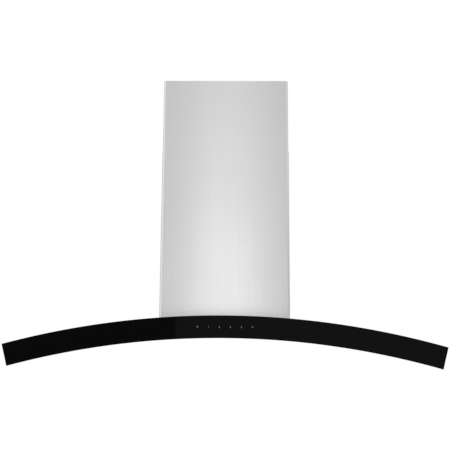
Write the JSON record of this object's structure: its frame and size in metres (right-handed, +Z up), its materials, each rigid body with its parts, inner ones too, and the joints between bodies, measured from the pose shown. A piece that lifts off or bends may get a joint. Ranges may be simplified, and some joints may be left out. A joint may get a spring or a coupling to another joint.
{
  "type": "wall mount range hood",
  "caption": "Wall mount range hood with an arched black glass front, a brushed steel telescopic chimney, tilting baffle filters and a centrifugal blower.",
  "frame": {"origin": "on the wall plane, in the middle of the four screw holes of the wall bracket", "axes": "+X to the right for someone facing the hood, +Y into the wall, +Z up; the front faces -Y"},
  "size_m": [0.9, 0.48, 0.6725],
  "materials": {
    "black_glass": "gloss, painted black behind",
    "chimney_steel": "fine vertical brush",
    "canopy_steel": "satin",
    "filter_steel": "satin",
    "galvanised_steel": "zinc spangle",
    "motor_paint": "semi-gloss",
    "shaft_steel": "ground",
    "screw_steel": "zinc plated",
    "black_rubber": "matt",
    "black_plastic": "moulded",
    "grey_plastic": "moulded",
    "latch_plastic": "moulded",
    "lamp_metal": "satin",
    "lamp_lens": "frosted",
    "circuit_board": "solder mask",
    "pad_metal": "foil",
    "tape_foam": "matt"
  },
  "bodies": {
    "hood": {"blower_box": "galvanised_steel", "blower_cover": "galvanised_steel", "box_screws": "screw_steel", "cable_gland": "black_plastic", "cable_grommet": "black_rubber", "canopy_shell": "canopy_steel", "canopy_underpan": "canopy_steel", "chimney_screws": "screw_steel", "collar_screws": "screw_steel", "control_box": "grey_plastic", "control_box_lid": "grey_plastic", "control_cable": "black_rubber", "cover_screws": "screw_steel", "duct_collar": "black_plastic", "front_glass": "black_glass", "front_inlet_ring": "galvanised_steel", "glass_tape": "tape_foam", "left_filter_bay": "filter_steel", "left_lamp_housing": "lamp_metal", "left_lamp_lens": "lamp_lens", "left_led_board": "circuit_board", "lid_screws": "screw_steel", "lower_chimney": "chimney_steel", "motor_body": "motor_paint", "motor_bracket": "galvanised_steel", "motor_bushes": "black_rubber", "motor_screws": "screw_steel", "outlet_transition": "galvanised_steel", "pan_screws": "screw_steel", "right_filter_bay": "filter_steel", "right_lamp_housing": "lamp_metal", "right_lamp_lens": "lamp_lens", "right_led_board": "circuit_board", "scroll_front_plate": "galvanised_steel", "scroll_housing": "galvanised_steel", "touch_board": "circuit_board", "touch_carrier": "black_plastic", "touch_pads": "pad_metal", "wall_bracket": "galvanised_steel"},
    "upper_chimney": {"upper_chimney": "chimney_steel", "chimney_bracket": "galvanised_steel", "bracket_screws": "screw_steel"},
    "impeller": {"impeller": "galvanised_steel", "motor_shaft": "shaft_steel"},
    "front_flap": {"front_damper_flap": "black_plastic"},
    "rear_flap": {"rear_damper_flap": "black_plastic"},
    "left_filter": {"left_filter_frame": "filter_steel", "left_lower_baffles": "filter_steel", "left_upper_baffles": "filter_steel", "left_latch_spring": "shaft_steel"},
    "left_latch": {"left_latch": "latch_plastic"},
    "right_filter": {"right_filter_frame": "filter_steel", "right_lower_baffles": "filter_steel", "right_upper_baffles": "filter_steel", "right_latch_spring": "shaft_steel"},
    "right_latch": {"right_latch": "latch_plastic"}
  },
  "joints": [
    {"name": "chimney_slide", "type": "slide", "parent": "hood", "child": "upper_chimney", "axis": [0, 0, 1], "range_m": [-0.15, 0.18]},
    {"name": "impeller_spin", "type": "hinge", "parent": "hood", "child": "impeller", "pos_m": [-0.029, -0.1285, -0.0543], "axis": [0, -1, 0], "continuous": true},
    {"name": "front_flap_hinge", "type": "hinge", "parent": "hood", "child": "front_flap", "pos_m": [0, -0.1345, 0.1116], "axis": [-1, 0, 0], "range_deg": [0, 80]},
    {"name": "rear_flap_hinge", "type": "hinge", "parent": "hood", "child": "rear_flap", "pos_m": [0, -0.1225, 0.1116], "axis": [1, 0, 0], "range_deg": [0, 80]},
    {"name": "left_filter_hinge", "type": "hinge", "parent": "hood", "child": "left_filter", "pos_m": [-0.13869, -0.108, -0.22486], "axis": [0.9966, 0, 0.0829], "range_deg": [0, 55]},
    {"name": "left_latch_slide", "type": "slide", "parent": "left_filter", "child": "left_latch", "axis": [0, 1, 0], "range_m": [0, 0.005], "stiffness_N_per_m": 300, "springref_m": -0.003, "deforming": ["left_latch_spring"]},
    {"name": "right_filter_hinge", "type": "hinge", "parent": "hood", "child": "right_filter", "pos_m": [0.13869, -0.108, -0.22486], "axis": [0.9966, 0, -0.0829], "range_deg": [0, 55]},
    {"name": "right_latch_slide", "type": "slide", "parent": "right_filter", "child": "right_latch", "axis": [0, 1, 0], "range_m": [0, 0.005], "stiffness_N_per_m": 300, "springref_m": -0.003, "deforming": ["right_latch_spring"]}
  ]
}
